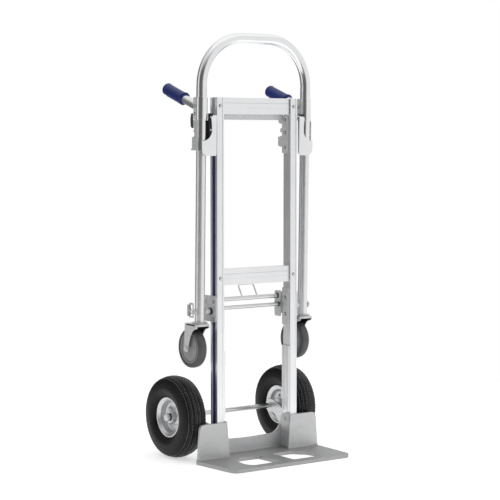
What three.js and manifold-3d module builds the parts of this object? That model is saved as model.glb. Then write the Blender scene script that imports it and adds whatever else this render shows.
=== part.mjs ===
// Convertible aluminium hand truck: two pneumatic wheels and a toe plate, with a handle frame that
// slides up the rails on a carriage and tilts forward over two casters to make a platform cart.
// Millimetres, +Z up. In the design frame X = 0 is the middle, Y = 0 is the front face of the rails,
// +Y is rearward and Z = 0 is the floor. The exported group moves that frame so that the middle of
// the footprint is at the origin.
import * as THREE from 'three';
import { mergeVertices } from 'three/addons/utils/BufferGeometryUtils.js';
import Module from 'manifold-3d';

const wasm = await Module();
wasm.setup();

// ---- driving dimensions ----
const GAP = 0.3; // clearance between touching pieces
const RAIL = { inner: 126.8, outer: 153.3, depth: 36, top: 1110, bottom: 16 };
const GROOVE = { front: 10, back: 26, depth: 6 }; // slide groove in each rail's outer face
const WALL = 2.2; // wall of the rail and crossbar extrusions
const BAR = { height: 50, front: 5, back: 33, middleTop: 588.5 };
const TOE = { front: -188, half: 232, halfFront: 222, top: 11, corner: 26 };
const UPRIGHT = { inner: 122, outer: 222, innerFoot: 113, outerFoot: 231, top: 119, thickness: 8.7 };
const BACK_WALL = { front: 40, back: 48, top: 54 };
const FLANGE = { inner: 119.5, rear: 50, top: 122 };
const WHEEL = { radius: 127, width: 80, x: 214, y: 140, rimRadius: 62.5, axleRadius: 8 };
const PIVOT = { y: 29, z: 460 }; // axis on which the handle frame tilts
const LEAN = THREE.MathUtils.degToRad(1.05); // the handle frame leans forward a little at rest
const TUBE = { x: 198, radius: 15.9, legRadius: 15.1, wall: 2 };
const LOOP = { top: 1291, bend: 145, foot: 951 }; // centre line of the handle loop
const LEG_FOOT = 430;
const GRIP = { z: 1075, rise: THREE.MathUtils.degToRad(18), from: 97, to: 203, radius: 19.8 };
const CLAMP = { half: 18.5, bottom: 1042, top: 1110 };
const CASTER = { radius: 61, hub: 48, half: 15.5, y: 66, z: 346, crownTop: 424, crownBottom: 417 };
const ROD_UP = { y: 48, z: 491.5, radius: 7, half: 112.7 };
const ROD_LOW = { y: 42, z: 465.5, radius: 6, half: 112.7 };
const SIDES = [['left', -1], ['right', 1]];

// ---- materials ----
function paint(color, roughness, metalness) {
  return new THREE.MeshStandardMaterial({ color, roughness, metalness });
}

const MATERIALS = {
  satin: paint(0xe4e5e7, 0.38, 0.9),
  polished: paint(0xd8dadd, 0.2, 1),
  cast: paint(0xb4b6b9, 0.55, 0.8),
  zinc: paint(0xb9bbbe, 0.35, 0.9),
  strip: paint(0x232a5c, 0.5, 0),
  grip: paint(0x22409c, 0.55, 0),
  tyre: paint(0x1c1c1e, 0.85, 0),
  casterTyre: paint(0x5a5a5c, 0.7, 0),
  casterHub: paint(0x8a8b8d, 0.55, 0.1),
  black: paint(0x17181a, 0.5, 0),
};

// ---- solids ----
function toSolid(geometry) {
  const bare = geometry.clone();
  bare.deleteAttribute('normal');
  bare.deleteAttribute('uv');
  const merged = mergeVertices(bare, 1e-4);
  return new wasm.Manifold(new wasm.Mesh({
    numProp: 3,
    vertProperties: new Float32Array(merged.attributes.position.array),
    triVerts: new Uint32Array(merged.index.array),
  }));
}

function toGeometry(solid) {
  const mesh = solid.getMesh();
  const geometry = new THREE.BufferGeometry();
  geometry.setAttribute('position', new THREE.BufferAttribute(new Float32Array(mesh.vertProperties), 3));
  geometry.setIndex(new THREE.BufferAttribute(new Uint32Array(mesh.triVerts), 1));
  geometry.computeVertexNormals();
  return geometry;
}

const joined = (solids) => solids.reduce((whole, piece) => whole.add(piece));

function box(x0, x1, y0, y1, z0, z1) {
  const geometry = new THREE.BoxGeometry(x1 - x0, y1 - y0, z1 - z0);
  geometry.translate((x0 + x1) / 2, (y0 + y1) / 2, (z0 + z1) / 2);
  return toSolid(geometry);
}

// A round bar along X, Y or Z. centre gives the two coordinates across it, in x, y, z order.
function bar(axis, from, to, centre, radius, segments = 16) {
  const geometry = new THREE.CylinderGeometry(radius, radius, to - from, segments);
  const middle = (from + to) / 2;
  if (axis === 'x') geometry.rotateZ(-Math.PI / 2).translate(middle, centre[0], centre[1]);
  if (axis === 'y') geometry.translate(centre[0], middle, centre[1]);
  if (axis === 'z') geometry.rotateX(Math.PI / 2).translate(centre[0], centre[1], middle);
  return toSolid(geometry);
}

const hex = (from, to, centre, radius) => bar('x', from, to, centre, radius, 6);

function outline(points) {
  return new THREE.Shape(points.map(([a, b]) => new THREE.Vector2(a, b)));
}

// A closed outline whose corners are rounded; each point may carry its own radius as third value.
function rounded(points, radius, steps = 3) {
  const path = [];
  points.forEach((point, i) => {
    const corner = new THREE.Vector2(point[0], point[1]);
    const before = new THREE.Vector2(...points[(i + points.length - 1) % points.length].slice(0, 2));
    const after = new THREE.Vector2(...points[(i + 1) % points.length].slice(0, 2));
    const r = point[2] ?? radius;
    const start = corner.clone().add(before.sub(corner).setLength(r));
    const end = corner.clone().add(after.sub(corner).setLength(r));
    if (r === 0) path.push(corner);
    if (r > 0) path.push(...new THREE.QuadraticBezierCurve(start, corner, end).getPoints(steps));
  });
  return new THREE.Shape(path);
}

function extrude(shape, depth) {
  return new THREE.ExtrudeGeometry(shape, { depth, curveSegments: 5, bevelEnabled: false });
}

// Plates: an outline in (Y, Z), (X, Z) or (X, Y) made thick along the third axis.
function plateX(shape, x0, x1) {
  const geometry = extrude(shape, x1 - x0);
  geometry.applyMatrix4(new THREE.Matrix4().set(0, 0, 1, x0, 1, 0, 0, 0, 0, 1, 0, 0, 0, 0, 0, 1));
  return toSolid(geometry);
}

function plateY(shape, y0, y1) {
  const geometry = extrude(shape, y1 - y0);
  geometry.rotateX(Math.PI / 2).translate(0, y1, 0);
  return toSolid(geometry);
}

function plateZ(shape, z0, z1) {
  const geometry = extrude(shape, z1 - z0);
  geometry.translate(0, 0, z0);
  return toSolid(geometry);
}

// A ring or wheel about an X axis from a closed profile of (radius, x) points.
function turned(profile, centre, segments = 32) {
  const geometry = new THREE.LatheGeometry(profile.map(([r, x]) => new THREE.Vector2(r, x)), segments);
  geometry.rotateZ(-Math.PI / 2).translate(0, centre[0], centre[1]);
  return toSolid(geometry);
}

function sweep(curve, radius, steps, sides) {
  const section = new THREE.Shape().absarc(0, 0, radius, 0, Math.PI * 2, false);
  const options = { extrudePath: curve, steps, curveSegments: sides, bevelEnabled: false };
  return toSolid(new THREE.ExtrudeGeometry(section, options));
}

// Pieces are drawn for the right side and mirrored to the left.
const onSide = (solid, side) => (side < 0 ? solid.mirror([1, 0, 0]) : solid);

const v = (x, y, z) => new THREE.Vector3(x, y, z);
const body = new THREE.Group();
const carriage = new THREE.Group();
const handle = new THREE.Group();
body.add(carriage);
carriage.add(handle);
handle.position.set(0, PIVOT.y, PIVOT.z);
handle.rotation.x = LEAN;

function addTo(group, name, solid, material) {
  const mesh = new THREE.Mesh(toGeometry(solid), material);
  mesh.name = name;
  group.add(mesh);
}

// Handle pieces are drawn upright and then turned about the pivot by the lean of their group.
function addToHandle(name, solid, material) {
  addTo(handle, name, solid.translate([0, -PIVOT.y, -PIVOT.z]), material);
}

// ---- frame ----
function rail() {
  const section = outline([
    [RAIL.inner, 0], [RAIL.outer, 0], [RAIL.outer, GROOVE.front],
    [RAIL.outer - GROOVE.depth, GROOVE.front], [RAIL.outer - GROOVE.depth, GROOVE.back],
    [RAIL.outer, GROOVE.back], [RAIL.outer, RAIL.depth], [RAIL.inner, RAIL.depth],
  ]);
  const web = RAIL.outer - GROOVE.depth - WALL;
  section.holes.push(outline([
    [RAIL.inner + WALL, WALL], [RAIL.inner + WALL, RAIL.depth - WALL],
    [web, RAIL.depth - WALL], [web, WALL],
  ]));
  return plateZ(section, RAIL.bottom, RAIL.top);
}

function slideStrip() {
  const back = RAIL.outer - GROOVE.depth + GAP;
  return box(back, back + 3.2, GROOVE.front + 1, GROOVE.back - 1, RAIL.bottom + 4, 940);
}

function crossbar(top, front = BAR.front, back = BAR.back, height = BAR.height) {
  const half = RAIL.inner - GAP;
  const shell = box(-half, half, front, back, top - height, top);
  const hollow = box(-half - 1, half + 1, front + WALL, back - WALL, top - height + WALL, top - WALL);
  return shell.subtract(hollow);
}

// Flat bar on the back of the top crossbar, reaching a little lower than it.
function topRearBar() {
  const y = BAR.back + GAP;
  return box(-RAIL.inner + 4, RAIL.inner - 4, y, y + 4, 1043, 1106);
}

function railSleeve() {
  return box(FLANGE.inner, RAIL.inner - GAP, 1.5, RAIL.depth, FLANGE.top + 6, 336);
}

function rivets(places, x, direction, radius = 5) {
  const from = Math.min(x, x + 2.4 * direction);
  return places.map((place) => bar('x', from, from + 2.4, place, radius, 8));
}

// Plate inside the top of each rail; two lugs and a small catch stand out behind the rail.
function upperLatch() {
  const front = 8;
  const back = 40;
  const shape = rounded([
    [front, 940], [back, 940], [back, 959, 0], [60, 963, 4], [60, 991, 4], [back, 995, 0],
    [back, 1004, 0], [49, 1006, 3], [49, 1017, 3], [back, 1019, 0],
    [back, 1031, 0], [58, 1035, 4], [58, 1057, 2], [front, 1057],
  ], 5);
  const plate = plateX(shape, RAIL.inner - GAP - 3, RAIL.inner - GAP);
  return joined([plate, ...rivets([[24, 958], [24, 1004], [24, 1044]], RAIL.inner - GAP - 2.9, -1)]);
}

function lowerLatch() {
  const shape = rounded([[4, 401], [38, 401], [38, 519], [4, 519]], 5);
  const plate = plateX(shape, RAIL.inner - GAP - 3, RAIL.inner - GAP);
  return joined([plate, ...rivets([[22, 435], [22, 487]], RAIL.inner - GAP - 2.9, -1, 6)]);
}

// Narrow strip standing out beside the top of each rail; only its head reaches the rail.
function edgeStrip() {
  const shape = outline([
    [RAIL.outer + GAP, 1056], [RAIL.outer + GAP, 1046], [158, 1046], [158, 941], [167, 941], [167, 1056],
  ]);
  return plateY(shape, 0.2, 3);
}

// ---- toe plate: one casting with two windows, two uprights, a low rear wall and two inner flanges ----
function toePlateOutline() {
  const { front, half, halfFront, corner } = TOE;
  const back = -GAP;
  const inner = UPRIGHT.innerFoot;
  return rounded([
    [-halfFront, front, corner], [halfFront, front, corner], [half, -20, 4], [half, back, 0],
    [inner + 13, back, 0], [inner + 13, BACK_WALL.back, 0], [-inner - 13, BACK_WALL.back, 0],
    [-inner - 13, back, 0], [-half, back, 0], [-half, -20, 4],
  ], corner, 6);
}

function toeWindow(side) {
  const points = [
    [26, -40], [102, -38, 10], [135, -76, 10], [141, -128, 10], [129, -154, 10], [23, -154],
  ];
  return rounded(points.map(([x, y, r]) => [side * x, y, r]), 8);
}

function upright(side) {
  const { inner, outer, innerFoot, outerFoot, top, thickness } = UPRIGHT;
  const points = [
    [innerFoot, 3, 0], [outerFoot, 3, 0], [outer, top, 14], [inner, top, 5],
  ].map(([x, z, r]) => [side * x, z, r]);
  return plateY(rounded(points, 5), -GAP - thickness, -GAP);
}

// Quarter-round fillet strip between the toe plate and a wall that faces forward.
function foot(x0, x1, y, z, size) {
  const shape = outline([
    [y + 1, z - 1], [y - size, z - 1], [y - size, z], [y - size * 0.42, z + size * 0.13],
    [y - size * 0.13, z + size * 0.42], [y, z + size], [y + 1, z + size],
  ]);
  return plateX(shape, x0, x1);
}

function innerFlange(side) {
  const shape = rounded([
    [-GAP - 5, 5, 0], [FLANGE.rear, 5, 0], [FLANGE.rear, 80, 12], [30, FLANGE.top, 12],
    [-GAP - 5, FLANGE.top, 4],
  ], 4);
  const x0 = side > 0 ? FLANGE.inner : -RAIL.inner + GAP;
  const plate = plateX(shape, x0, x0 + RAIL.inner - GAP - FLANGE.inner);
  const bolts = rivets([[20, 102], [27, 49]], side * (FLANGE.inner + 0.1), -side, 6);
  return joined([plate, ...bolts]);
}

function backWall() {
  const reach = FLANGE.inner + 2;
  const low = BACK_WALL.top;
  const shape = rounded([
    [-reach, 5, 0], [reach, 5, 0], [reach, 88, 0], [reach - 8, 74, 8], [reach - 26, low + 3, 14],
    [0, low, 30], [-reach + 26, low + 3, 14], [-reach + 8, 74, 8], [-reach, 88, 0],
  ], 8);
  return plateY(shape, BACK_WALL.front, BACK_WALL.back);
}

function toePlate() {
  const { top } = TOE;
  const plate = plateZ(toePlateOutline(), 0, top);
  const wallFoot = foot(-FLANGE.inner - 1, FLANGE.inner + 1, BACK_WALL.front, top, 7);
  let whole = joined([plate, backWall(), wallFoot]);
  for (const [, side] of SIDES) {
    const ends = [side * UPRIGHT.innerFoot, side * (UPRIGHT.outerFoot - 1)].sort((a, b) => a - b);
    const strip = foot(ends[0], ends[1], -GAP - UPRIGHT.thickness, top, 7);
    whole = joined([whole, upright(side), innerFlange(side), strip]);
    whole = whole.subtract(plateZ(toeWindow(side), -5, top + 5));
  }
  return whole;
}

// ---- axle and wheels ----
function axleBracket() {
  const { y, radius: z } = WHEEL;
  const radius = 22;
  const shape = rounded([
    [GAP, 18], [36, 18, 6], [y - 20, z - radius + 2, 12], [y + radius, z - radius, 20],
    [y + radius, z + radius, 20], [y - 30, z + radius - 4, 14], [60, 114, 14], [GAP, 110],
  ], 6);
  const plate = plateX(shape, RAIL.outer + GAP, RAIL.outer + 5.3);
  const boss = bar('x', RAIL.outer + 1, RAIL.outer + 13, [y, z], 15);
  return plate.add(boss).subtract(bar('x', 140, 180, [y, z], WHEEL.axleRadius + GAP));
}

function axle() {
  return bar('x', -WHEEL.x - 33, WHEEL.x + 33, [WHEEL.y, WHEEL.radius], WHEEL.axleRadius);
}

// Wheel profiles are (radius, x) with x measured outboard from the wheel's middle plane.
function tyre() {
  const half = WHEEL.width / 2;
  const bead = WHEEL.rimRadius + GAP;
  const profile = [
    [bead, -28], [bead + 8, -34], [bead + 24, -half], [bead + 40, -half + 1.5], [119, -34], [124.5, -24],
    [WHEEL.radius, -8], [WHEEL.radius, 8], [124.5, 24], [119, 34], [bead + 40, half - 1.5],
    [bead + 24, half], [bead + 8, 34], [bead, 28], [bead, -28],
  ];
  return turned(profile, [0, 0], 40);
}

function rim() {
  const edge = WHEEL.rimRadius;
  const bore = WHEEL.axleRadius + GAP;
  const profile = [
    [bore, -32], [19, -32], [19, -6], [40, -6], [46, -12], [48, -26], [edge, -29], [edge, -26],
    [51, -23], [50, 0], [51, 23], [edge, 26], [edge, 29], [48, 26], [45, 4], [39, 1], [19, 1],
    [19, 26], [bore, 26], [bore, -32],
  ];
  return turned(profile, [0, 0], 28);
}

// Push-on cap that keeps the wheel on the axle.
function axleCap() {
  const profile = [
    [0, 33.3], [8.5, 33.3], [8.5, 26.5], [12.5, 26.5], [12.5, 34.5], [9, 37.5], [0, 37.5], [0, 33.3],
  ];
  return turned(profile, [0, 0], 16);
}

// ---- carriage that slides on the rails ----
const CARRIAGE = { low: 428, high: 508, rear: 64, webFront: 61, ear: 122, block: 113 };

function carriageBracket() {
  const { low, high, rear, webFront, ear, block } = CARRIAGE;
  const x0 = RAIL.outer + 0.7;
  const x1 = x0 + 3;
  const cheek = plateX(rounded([[0.5, low], [rear, low], [rear, high], [0.5, high]], 7), x0, x1);
  const web = box(block, x0 + 1, webFront, rear, low + 6, high - 6);
  const upper = box(block, ear, 40, webFront + 1, 473, high);
  const lower = box(block, ear, 40, webFront + 1, low - 1, 458);
  const window = plateX(rounded([[48, 451], [59, 451], [59, 466], [48, 466]], 3), x0 - 1, x1 + 1);
  const hole = plateX(rounded([[50, 481], [57, 481], [57, 497], [50, 497]], 3.4), x0 - 1, x1 + 1);
  const bolts = rivets([[16, 436], [16, 489]], x1 - 0.1, 1, 5.5);
  return joined([cheek, web, upper, lower, ...bolts]).subtract(window).subtract(hole);
}

function pivotWasher() {
  const ring = bar('x', 157.3, 163, [PIVOT.y, PIVOT.z], 10.5);
  return ring.subtract(bar('x', 150, 170, [PIVOT.y, PIVOT.z], 5.5));
}

// Stud from the carriage through the handle leg, with a domed nut on its outboard end.
function pivotBolt() {
  const stud = bar('x', 157.3, 219, [PIVOT.y, PIVOT.z], 5, 12);
  const spacer = bar('x', 163.3, 181, [PIVOT.y, PIVOT.z], 8, 14);
  return joined([stud, spacer, hex(217.2, 222, [PIVOT.y, PIVOT.z], 9)]);
}

function lowerRod() {
  return bar('x', -ROD_LOW.half, ROD_LOW.half, [ROD_LOW.y, ROD_LOW.z], ROD_LOW.radius, 12);
}

// ---- release bar: a rod that turns between the carriage blocks, with a wire pull loop ----
const PULL = { left: -19, right: 39, rise: 40, back: 24, radius: 2.3 };

function releaseBar() {
  const rod = bar('x', -ROD_UP.half, ROD_UP.half, [ROD_UP.y, ROD_UP.z], ROD_UP.radius, 12);
  return rod.add(releaseWire());
}

function releaseWire() {
  const { left, right, rise, back, radius } = PULL;
  const start = v(left, ROD_UP.y + ROD_UP.radius - 1, ROD_UP.z);
  const end = start.clone().setX(right);
  const top = v(0, start.y + back, start.z + rise);
  const bend = 8;
  const leftCorner = top.clone().setX(left);
  const rightCorner = top.clone().setX(right);
  const leftBend = leftCorner.clone().add(start.clone().sub(leftCorner).setLength(bend));
  const rightBend = rightCorner.clone().add(end.clone().sub(rightCorner).setLength(bend));
  const flatStart = top.clone().setX(left + bend);
  const flatEnd = top.clone().setX(right - bend);
  const path = new THREE.CurvePath();
  path.add(new THREE.LineCurve3(start, leftBend));
  path.add(new THREE.QuadraticBezierCurve3(leftBend, leftCorner, flatStart));
  path.add(new THREE.LineCurve3(flatStart, flatEnd));
  path.add(new THREE.QuadraticBezierCurve3(flatEnd, rightCorner, rightBend));
  path.add(new THREE.LineCurve3(rightBend, end));
  return sweep(path, radius, 20, 6);
}

// ---- handle frame ----
function loopPath(drop) {
  const { top, bend } = LOOP;
  const flat = TUBE.x - bend;
  const centre = top - bend;
  const arc = (side, from, to) => {
    const points = [];
    for (let i = 0; i <= 9; i += 1) {
      const angle = from + ((to - from) * i) / 9;
      points.push(v(side * flat + bend * Math.cos(angle), PIVOT.y, centre + bend * Math.sin(angle)));
    }
    return points;
  };
  const leftBend = arc(-1, Math.PI, Math.PI / 2);
  const rightBend = arc(1, Math.PI / 2, 0);
  return [v(-TUBE.x, PIVOT.y, drop), ...leftBend, ...rightBend, v(TUBE.x, PIVOT.y, drop)];
}

// The loop is swept ring by ring, so that the section stays square to the path at every bend.
function sweepRings(points, radius, sides) {
  const positions = [];
  const index = [];
  points.forEach((point, i) => {
    const before = points[Math.max(i - 1, 0)];
    const after = points[Math.min(i + 1, points.length - 1)];
    const along = after.clone().sub(before).normalize();
    const outward = v(along.z, 0, -along.x);
    for (let k = 0; k < sides; k += 1) {
      const angle = (2 * Math.PI * k) / sides;
      const offset = outward.clone().multiplyScalar(Math.cos(angle)).add(v(0, Math.sin(angle), 0));
      positions.push(...point.clone().addScaledVector(offset, radius).toArray());
    }
  });
  const last = points.length - 1;
  for (let i = 0; i < last; i += 1) {
    for (let k = 0; k < sides; k += 1) {
      const a = i * sides + k;
      const b = i * sides + ((k + 1) % sides);
      index.push(a, b, a + sides, b, b + sides, a + sides);
    }
  }
  for (let k = 1; k < sides - 1; k += 1) {
    index.push(0, k + 1, k);
    index.push(last * sides, last * sides + k, last * sides + k + 1);
  }
  const geometry = new THREE.BufferGeometry();
  geometry.setAttribute('position', new THREE.BufferAttribute(new Float32Array(positions), 3));
  geometry.setIndex(index);
  return toSolid(geometry);
}

function handleLoop() {
  const tube = sweepRings(loopPath(LOOP.foot), TUBE.radius, 16);
  const bore = sweepRings(loopPath(LOOP.foot - 5), TUBE.radius - TUBE.wall, 10);
  return tube.subtract(bore);
}

function handleLeg() {
  const centre = [TUBE.x, PIVOT.y];
  const tube = bar('z', LEG_FOOT, LOOP.foot - GAP, centre, TUBE.legRadius);
  const bore = bar('z', LEG_FOOT - 1, LOOP.foot + 1, centre, TUBE.legRadius - TUBE.wall, 12);
  const pivotHole = bar('x', 170, 225, [PIVOT.y, PIVOT.z], 5.5, 12);
  return tube.subtract(bore).subtract(pivotHole);
}

// Clamp round the tube, with flat cheeks behind and two bolts through them.
function gripClamp() {
  const { half, bottom, top } = CLAMP;
  const cheekShape = rounded([[-half, 0, 0], [half, 0, 0], [half, half], [-half, half]], 4);
  const cheeks = plateZ(cheekShape, bottom, top);
  const ring = bar('z', bottom, top, [0, 0], half, 24);
  const bore = bar('z', bottom - 5, top + 5, [0, 0], TUBE.radius + GAP);
  const bolts = [1060, 1084].flatMap((z) => [
    bar('x', half - 0.1, half + 2.4, [9, z], 4, 8),
    bar('x', -half - 2.4, -half + 0.1, [9, z], 4, 8),
  ]);
  return joined([ring.add(cheeks).subtract(bore), ...bolts]).translate([TUBE.x, PIVOT.y, 0]);
}

// A piece turned about the grip's axis, which rises rearward from the tube.
function onGripAxis(profile, segments) {
  const geometry = new THREE.LatheGeometry(profile.map(([r, s]) => new THREE.Vector2(r, s)), segments);
  geometry.rotateX(GRIP.rise).translate(TUBE.x, PIVOT.y, GRIP.z);
  return toSolid(geometry);
}

function gripStub() {
  const inside = GRIP.to - 10;
  const stub = onGripAxis([[0, 0], [14, 0], [14, inside], [0, inside]], 14);
  return stub.subtract(box(0, 400, 0, PIVOT.y + CLAMP.half + GAP, 900, 1300));
}

function grip() {
  const { from, to, radius } = GRIP;
  const bore = 14 + GAP;
  const inside = to - 10 + GAP;
  const flange = [[radius + 2, from], [radius + 2, from + 3], [radius, from + 7]];
  const barrel = [[radius, to - 14]];
  const dome = [[radius - 4, to - 5], [radius - 12, to], [0, to]];
  const socket = [[0, inside], [bore, inside], [bore, from]];
  return onGripAxis([[bore, from], ...flange, ...barrel, ...dome, ...socket], 18);
}

// Plate in front of each tube with an open-topped cradle of the tube's radius at its foot.
function hookPlate() {
  const inner = 158;
  const post = 175;
  const tip = 211;
  const seat = 979;
  const bottom = 934;
  const cradle = 33;
  const shape = new THREE.Shape();
  shape.moveTo(inner, 1052);
  shape.lineTo(inner, bottom + 4);
  shape.quadraticCurveTo(inner, bottom, inner + 4, bottom);
  shape.lineTo(180, bottom);
  shape.quadraticCurveTo(tip, bottom, tip, 966);
  shape.lineTo(tip, seat);
  shape.lineTo(post + cradle, seat);
  shape.absarc(post + cradle, seat + cradle, cradle, -Math.PI / 2, -Math.PI, true);
  shape.lineTo(post, 1050);
  shape.quadraticCurveTo(post - 1, 1055, post - 5, 1055);
  shape.lineTo(inner + 3, 1055);
  shape.quadraticCurveTo(inner, 1055, inner, 1052);
  return plateY(shape, 4.4, 8.2);
}

// Black block between the hook plate and the tube; its head passes inside the grip clamp.
function guidePad() {
  const face = rounded([[8.8, 982], [26, 982], [26, 1041, 0], [8.8, 1041, 0]], 5);
  const head = rounded([[8.8, 1040, 0], [26, 1040, 0], [26, 1062], [8.8, 1062]], 5);
  return plateX(face, 169, TUBE.x - TUBE.radius - GAP).add(plateX(head, 169, 176.5));
}

// Outboard catch on the tube, with a rounded lobe above and a square lug below.
function catchPlate() {
  const shape = rounded([
    [20, 950], [54, 950, 2], [54, 954, 1], [50, 956, 0], [50, 990, 4], [38, 992, 2], [38, 1004, 2],
    [45, 1008, 3], [38, 1013, 2], [40, 1016, 2], [57, 1018, 7], [60, 1048, 8], [54, 1063, 4],
    [48.4, 1060, 2], [48.4, 1041, 0], [20, 1041],
  ], 5);
  return plateX(shape, TUBE.x + TUBE.radius + 0.6, TUBE.x + TUBE.radius + 3.6);
}

// Arm from the pivot to a tall plate behind the handle leg, with a lip turned outboard.
function tiltLatch() {
  const y = PIVOT.y;
  const shape = rounded([
    [y - 9, 451], [y + 9, 451, 0], [y + 9, 441], [y + 30, 441],
    [y + 30, 487], [y + 9, 487], [y + 9, 469, 0], [y - 9, 469],
  ], 3);
  const plate = plateX(shape, 213.7, 216.2);
  const lip = box(213.7, 224, y + 27.5, y + 30, 446, 482);
  return plate.add(lip).subtract(bar('x', 200, 230, [y, PIVOT.z], 5.5, 12));
}

// ---- casters ----
function casterMount() {
  const centre = [TUBE.x, PIVOT.y];
  const plug = bar('z', 424.6, 440, centre, TUBE.legRadius - TUBE.wall - GAP - 0.3, 12);
  const disc = bar('z', 424.6, LEG_FOOT - GAP, centre, 24, 20);
  return plug.add(disc);
}

function casterFork() {
  const { x } = TUBE;
  const { y, z, crownTop, crownBottom } = CASTER;
  const outer = 24;
  const inner = 21;
  const crownShape = rounded([[x - outer, 8], [x + outer, 8], [x + outer, 76], [x - outer, 76]], 12);
  const crown = plateZ(crownShape, crownBottom, crownTop);
  const shape = rounded([
    [10, crownTop - 1, 0], [10, 411, 2], [32, 405, 12], [48, 380, 12],
    [y - 9, z + 2, 6], [y - 9, z - 11, 8], [y + 11, z - 11, 9],
    [y + 11, z + 14, 6], [75, 405, 6], [75, crownTop - 1, 0],
  ], 4);
  const legs = [plateX(shape, x - outer, x - inner), plateX(shape, x + inner, x + outer)];
  const hole = bar('x', x - 40, x + 40, [y, z], 5 + GAP, 12);
  return joined([crown, ...legs]).subtract(hole);
}

function casterTyre() {
  const { radius, hub, half } = CASTER;
  const bead = hub + GAP;
  const profile = [
    [bead, -12], [bead + 3, -half], [radius - 7, -half], [radius - 2, -half + 5], [radius, 0],
    [radius - 2, half - 5], [radius - 7, half], [bead + 3, half], [bead, 12], [bead, -12],
  ];
  return turned(profile, [0, 0], 28);
}

function casterHub() {
  const { hub } = CASTER;
  const profile = [
    [5 + GAP, -19.5], [11, -19.5], [12, -12], [hub - 4, -12], [hub, -10],
    [hub, 10], [hub - 4, 12], [12, 12],
    [11, 19.5], [5 + GAP, 19.5], [5 + GAP, -19.5],
  ];
  return turned(profile, [0, 0], 20);
}

function casterAxle() {
  const { y, z } = CASTER;
  const { x } = TUBE;
  const shank = bar('x', x - 26, x + 26, [y, z], 5, 12);
  return joined([shank, hex(x + 24.3, x + 29, [y, z], 8), hex(x - 29, x - 24.3, [y, z], 8)]);
}

// ---- assembly ----
addTo(body, 'top_crossbar', crossbar(RAIL.top), MATERIALS.satin);
addTo(body, 'top_rear_bar', topRearBar(), MATERIALS.satin);
addTo(body, 'middle_crossbar', crossbar(BAR.middleTop), MATERIALS.satin);
addTo(body, 'toe_plate', toePlate(), MATERIALS.cast);
addTo(body, 'axle', axle(), MATERIALS.zinc);
addTo(carriage, 'lower_rod', lowerRod(), MATERIALS.zinc);
addTo(carriage, 'release_bar', releaseBar(), MATERIALS.zinc);
addToHandle('handle_loop', handleLoop(), MATERIALS.polished);

for (const [name, side] of SIDES) {
  const frameParts = [
    ['rail', rail(), 'satin'],
    ['slide_strip', slideStrip(), 'strip'],
    ['rail_sleeve', railSleeve(), 'satin'],
    ['upper_latch', upperLatch(), 'zinc'],
    ['lower_latch', lowerLatch(), 'zinc'],
    ['edge_strip', edgeStrip(), 'satin'],
    ['axle_bracket', axleBracket(), 'black'],
    ['axle_cap', axleCap().translate([WHEEL.x, WHEEL.y, WHEEL.radius]), 'zinc'],
    ['tyre', tyre().translate([WHEEL.x, WHEEL.y, WHEEL.radius]), 'tyre'],
    ['rim', rim().translate([WHEEL.x, WHEEL.y, WHEEL.radius]), 'zinc'],
  ];
  for (const [part, solid, material] of frameParts) {
    addTo(body, `${part}_${name}`, onSide(solid, side), MATERIALS[material]);
  }
  const carriageParts = [
    ['carriage_bracket', carriageBracket(), 'zinc'],
    ['pivot_washer', pivotWasher(), 'black'],
    ['pivot_bolt', pivotBolt(), 'zinc'],
  ];
  for (const [part, solid, material] of carriageParts) {
    addTo(carriage, `${part}_${name}`, onSide(solid, side), MATERIALS[material]);
  }
  const handleParts = [
    ['handle_leg', handleLeg(), 'polished'],
    ['grip_clamp', gripClamp(), 'satin'],
    ['grip_stub', gripStub(), 'polished'],
    ['grip', grip(), 'grip'],
    ['hook_plate', hookPlate(), 'satin'],
    ['guide_pad', guidePad(), 'black'],
    ['catch_plate', catchPlate(), 'zinc'],
    ['tilt_latch', tiltLatch(), 'zinc'],
    ['caster_mount', casterMount(), 'zinc'],
    ['caster_fork', casterFork(), 'zinc'],
    ['caster_axle', casterAxle(), 'zinc'],
    ['caster_tyre', casterTyre().translate([TUBE.x, CASTER.y, CASTER.z]), 'casterTyre'],
    ['caster_hub', casterHub().translate([TUBE.x, CASTER.y, CASTER.z]), 'casterHub'],
  ];
  for (const [part, solid, material] of handleParts) {
    addToHandle(`${part}_${name}`, onSide(solid, side), MATERIALS[material]);
  }
}

// The middle of the footprint becomes the origin.
body.position.y = -(TOE.front + WHEEL.y + WHEEL.radius) / 2;

const handTruck = new THREE.Group();
handTruck.add(body);

export default handTruck;
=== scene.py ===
"""Finished look of the convertible hand truck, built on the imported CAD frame.

Shapes are drawn in design millimetres: X = 0 is the middle, Y = 0 the front face of the rails,
+Y the rear and Z = 0 the floor. Pieces are drawn for the right side and mirrored to the left.
"""
import math

import bmesh
import bpy
from mathutils import Matrix, Vector


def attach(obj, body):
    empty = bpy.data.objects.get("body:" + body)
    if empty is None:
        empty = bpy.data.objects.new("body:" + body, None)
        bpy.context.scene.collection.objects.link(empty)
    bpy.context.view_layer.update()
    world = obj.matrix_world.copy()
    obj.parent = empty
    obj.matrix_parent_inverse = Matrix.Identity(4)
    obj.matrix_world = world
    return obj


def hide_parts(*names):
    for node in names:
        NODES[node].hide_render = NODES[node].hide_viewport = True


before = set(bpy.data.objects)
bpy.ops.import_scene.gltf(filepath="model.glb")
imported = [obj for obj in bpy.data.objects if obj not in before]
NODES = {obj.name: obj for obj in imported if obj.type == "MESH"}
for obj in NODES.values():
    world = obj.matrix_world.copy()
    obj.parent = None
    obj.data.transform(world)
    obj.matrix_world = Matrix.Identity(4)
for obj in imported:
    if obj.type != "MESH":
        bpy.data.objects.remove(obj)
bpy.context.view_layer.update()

# ---- driving dimensions, in millimetres ----
MM = 0.001
FRAME_Y = -39.5  # from the design frame to the row frame
SIDES = (("left", -1), ("right", 1))
RAIL_INNER, RAIL_OUTER, RAIL_DEPTH, RAIL_TOP, RAIL_BOTTOM = 126.8, 153.3, 36.0, 1110.0, 16.0
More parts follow.
